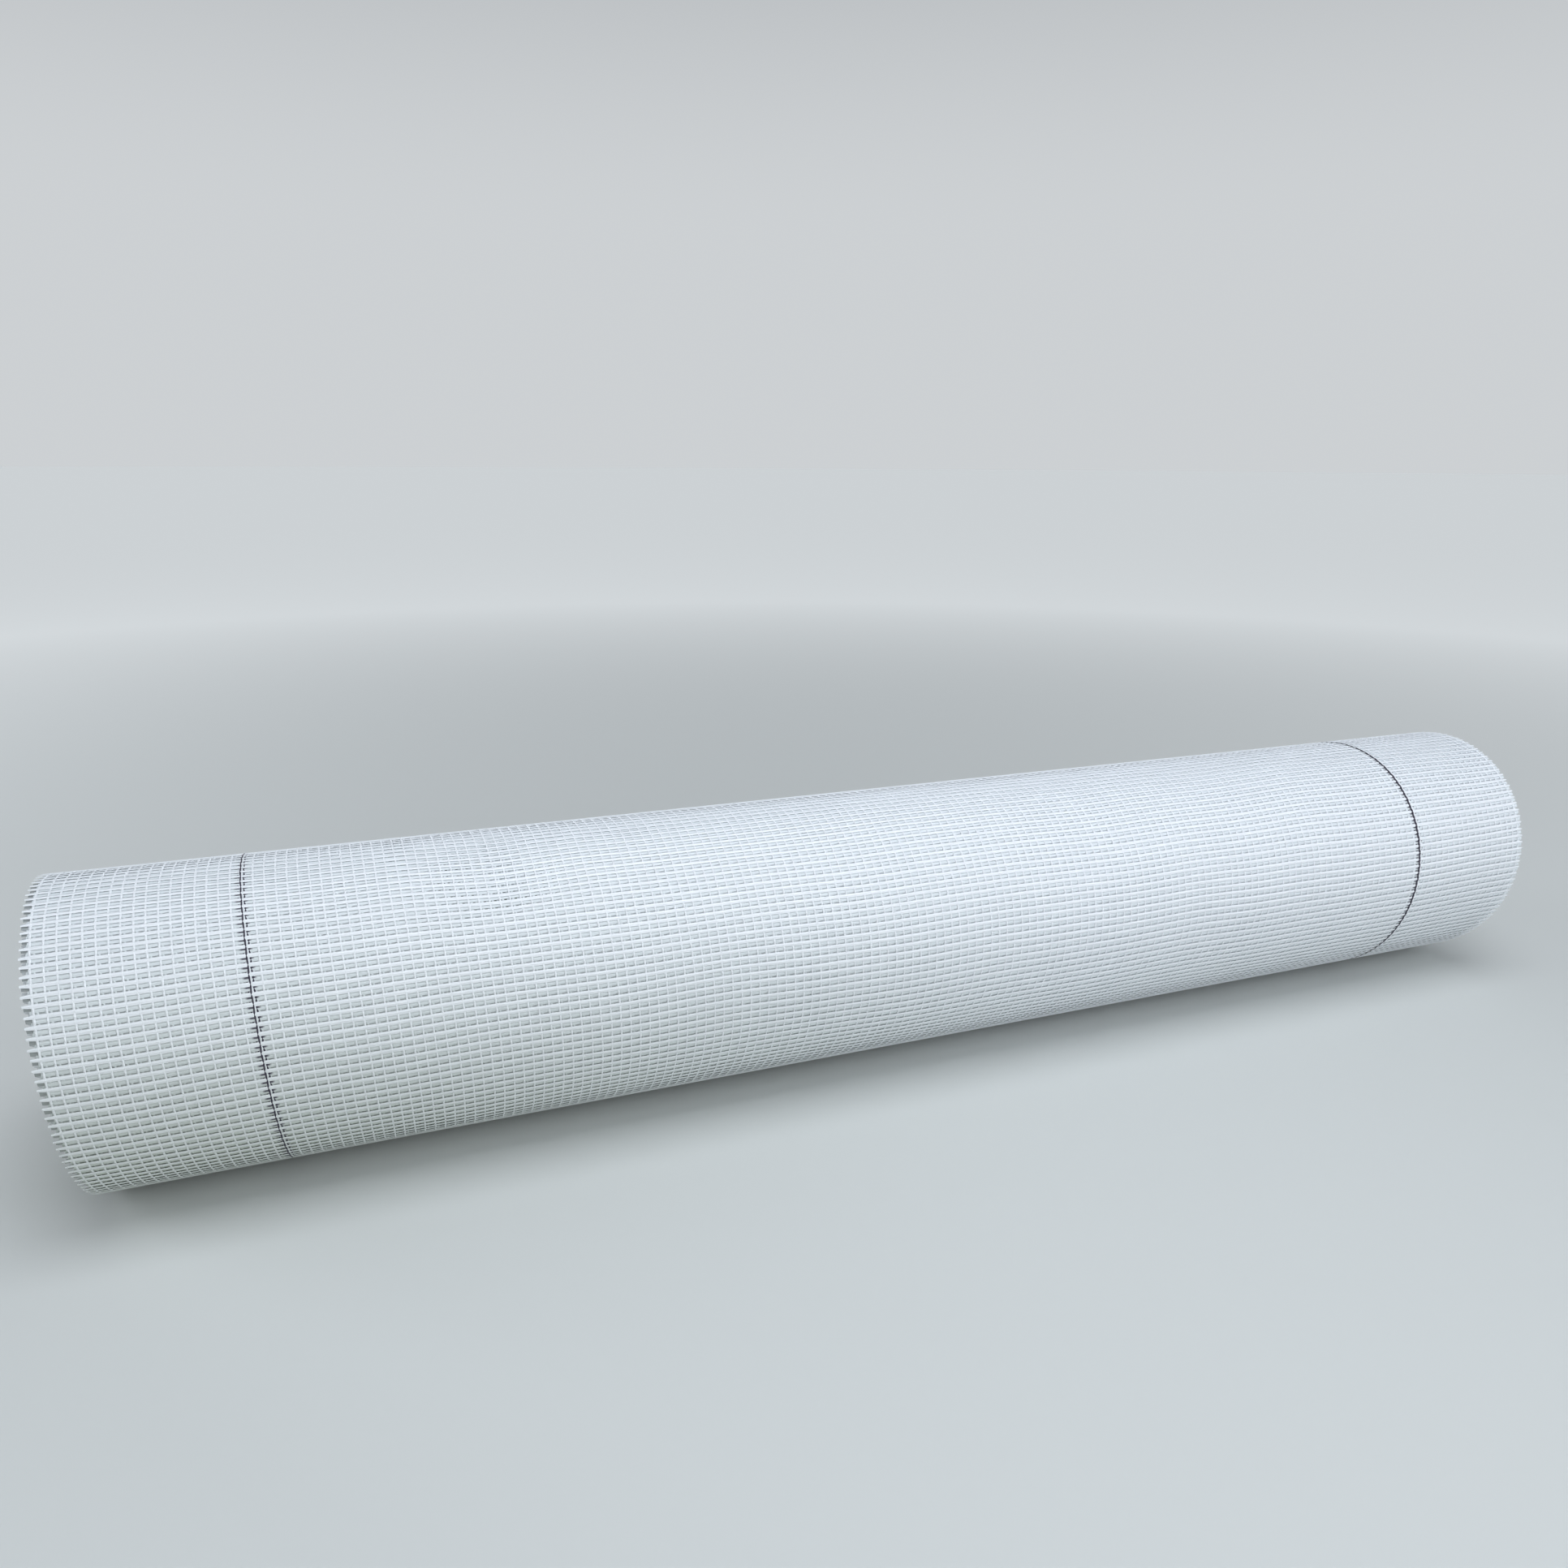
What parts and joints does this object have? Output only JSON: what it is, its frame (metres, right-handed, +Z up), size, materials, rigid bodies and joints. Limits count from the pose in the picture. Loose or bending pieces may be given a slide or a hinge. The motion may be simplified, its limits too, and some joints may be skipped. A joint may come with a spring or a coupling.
{
  "type": "roll of fiberglass mesh",
  "caption": "Wide web of open-weave glass fibre reinforcing mesh, wound tightly on itself into a long roll with an open bore and a dark marker yarn near each end.",
  "frame": {"origin": "under the middle of the roll, at the level of the floor that it lies on", "axes": "+X along the roll, towards the end whose marker yarn is further in; +Z up; the roll's axis is 0.089 m above the origin"},
  "size_m": [1, 0.178, 0.178],
  "materials": {
    "glass_fibre_mesh": "open leno weave of glass fibre yarn in a white acrylic coating, slightly glossy",
    "marker_yarn": "dark dyed yarn twisted with a white one, coated with the web"
  },
  "bodies": {
    "root": {"mesh_roll": "glass_fibre_mesh", "marker_yarn_left": "marker_yarn", "marker_yarn_right": "marker_yarn"}
  },
  "joints": []
}
